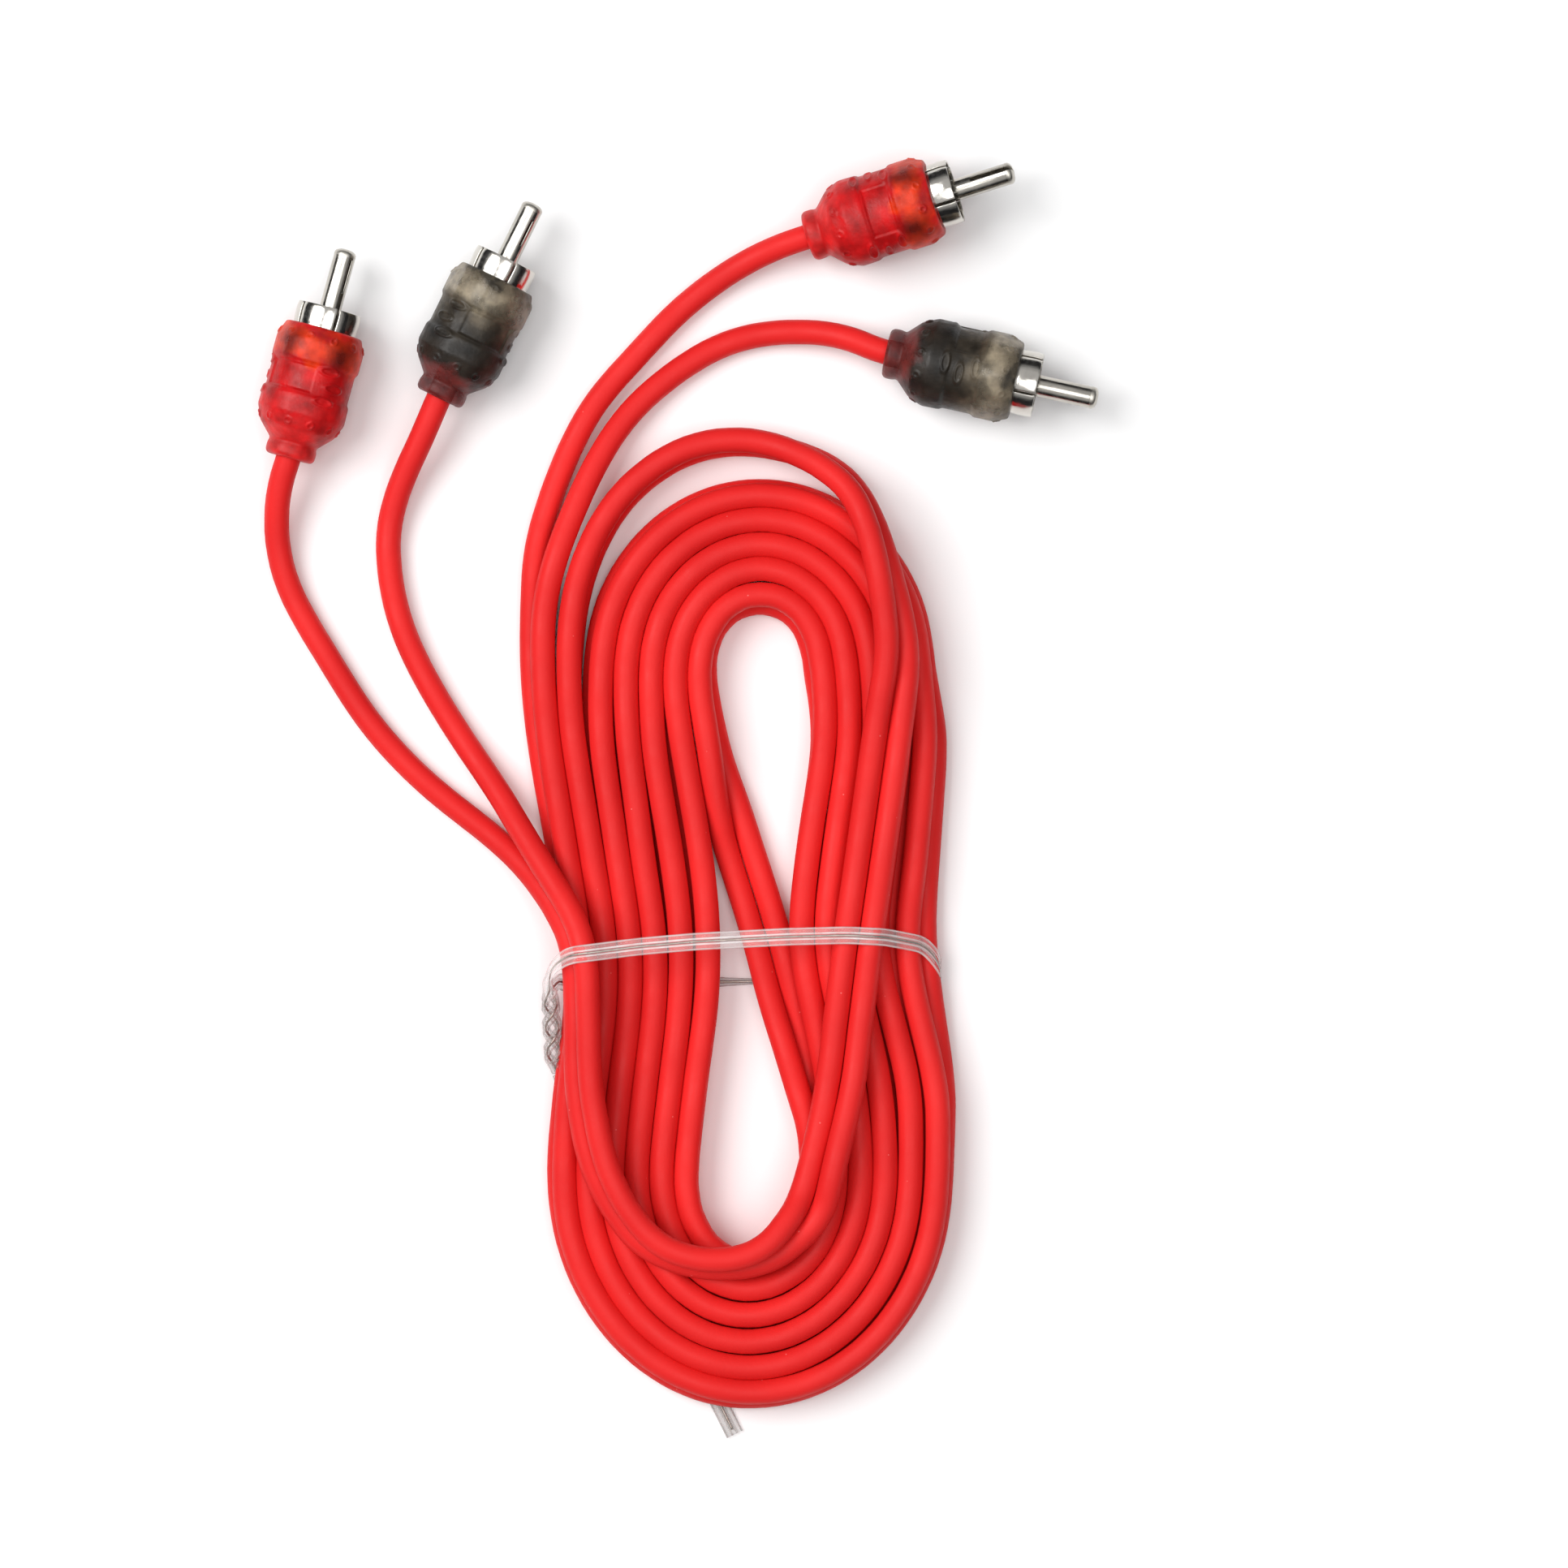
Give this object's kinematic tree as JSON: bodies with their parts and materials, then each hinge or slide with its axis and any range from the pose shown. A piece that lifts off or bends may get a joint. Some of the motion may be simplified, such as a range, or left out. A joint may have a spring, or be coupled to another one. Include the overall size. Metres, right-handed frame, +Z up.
{
  "type": "stereo phono interconnect cable hank",
  "caption": "Red twin audio cable wound in a flat hank, closed by a clear twist tie, with a moulded phono (RCA) plug on each split end.",
  "frame": {"origin": "on the table, under the middle of the object's bounding box", "axes": "+Z up from the table; +Y along the hank towards the plugs; +X towards the side that the right-hand plugs point to"},
  "size_m": [0.123, 0.1879, 0.0144],
  "materials": {
    "red_cable_jacket": "soft matte flexible PVC",
    "red_boot": "translucent moulded red PVC, satin",
    "smoke_boot": "translucent moulded smoke grey PVC, satin",
    "nickel_plate": "bright nickel plate",
    "white_polyethylene": "plain",
    "dark_inner_mold": "plain moulded",
    "bare_copper": "bare copper strands",
    "clear_tie": "clear flexible PVC ribbon",
    "tie_wire": "drawn wire"
  },
  "bodies": {
    "root": {"left_red_boot": "red_boot", "left_red_ground_shell": "nickel_plate", "left_red_center_pin": "nickel_plate", "left_red_insulator": "white_polyethylene", "left_red_inner_mold": "dark_inner_mold", "left_red_core_insulation": "white_polyethylene", "left_red_core_conductor": "bare_copper", "left_red_shield_pigtail": "bare_copper", "left_red_lead": "red_cable_jacket", "left_smoke_boot": "smoke_boot", "left_smoke_ground_shell": "nickel_plate", "left_smoke_center_pin": "nickel_plate", "left_smoke_insulator": "white_polyethylene", "left_smoke_inner_mold": "dark_inner_mold", "left_smoke_core_insulation": "white_polyethylene", "left_smoke_core_conductor": "bare_copper", "left_smoke_shield_pigtail": "bare_copper", "left_smoke_lead": "red_cable_jacket", "right_red_boot": "red_boot", "right_red_ground_shell": "nickel_plate", "right_red_center_pin": "nickel_plate", "right_red_insulator": "white_polyethylene", "right_red_inner_mold": "dark_inner_mold", "right_red_core_insulation": "white_polyethylene", "right_red_core_conductor": "bare_copper", "right_red_shield_pigtail": "bare_copper", "right_red_lead": "red_cable_jacket", "right_smoke_boot": "smoke_boot", "right_smoke_ground_shell": "nickel_plate", "right_smoke_center_pin": "nickel_plate", "right_smoke_insulator": "white_polyethylene", "right_smoke_inner_mold": "dark_inner_mold", "right_smoke_core_insulation": "white_polyethylene", "right_smoke_core_conductor": "bare_copper", "right_smoke_shield_pigtail": "bare_copper", "right_smoke_lead": "red_cable_jacket", "cable_hank": "red_cable_jacket", "twist_tie_ribbon": "clear_tie", "twist_tie_wire": "tie_wire"}
  },
  "joints": []
}
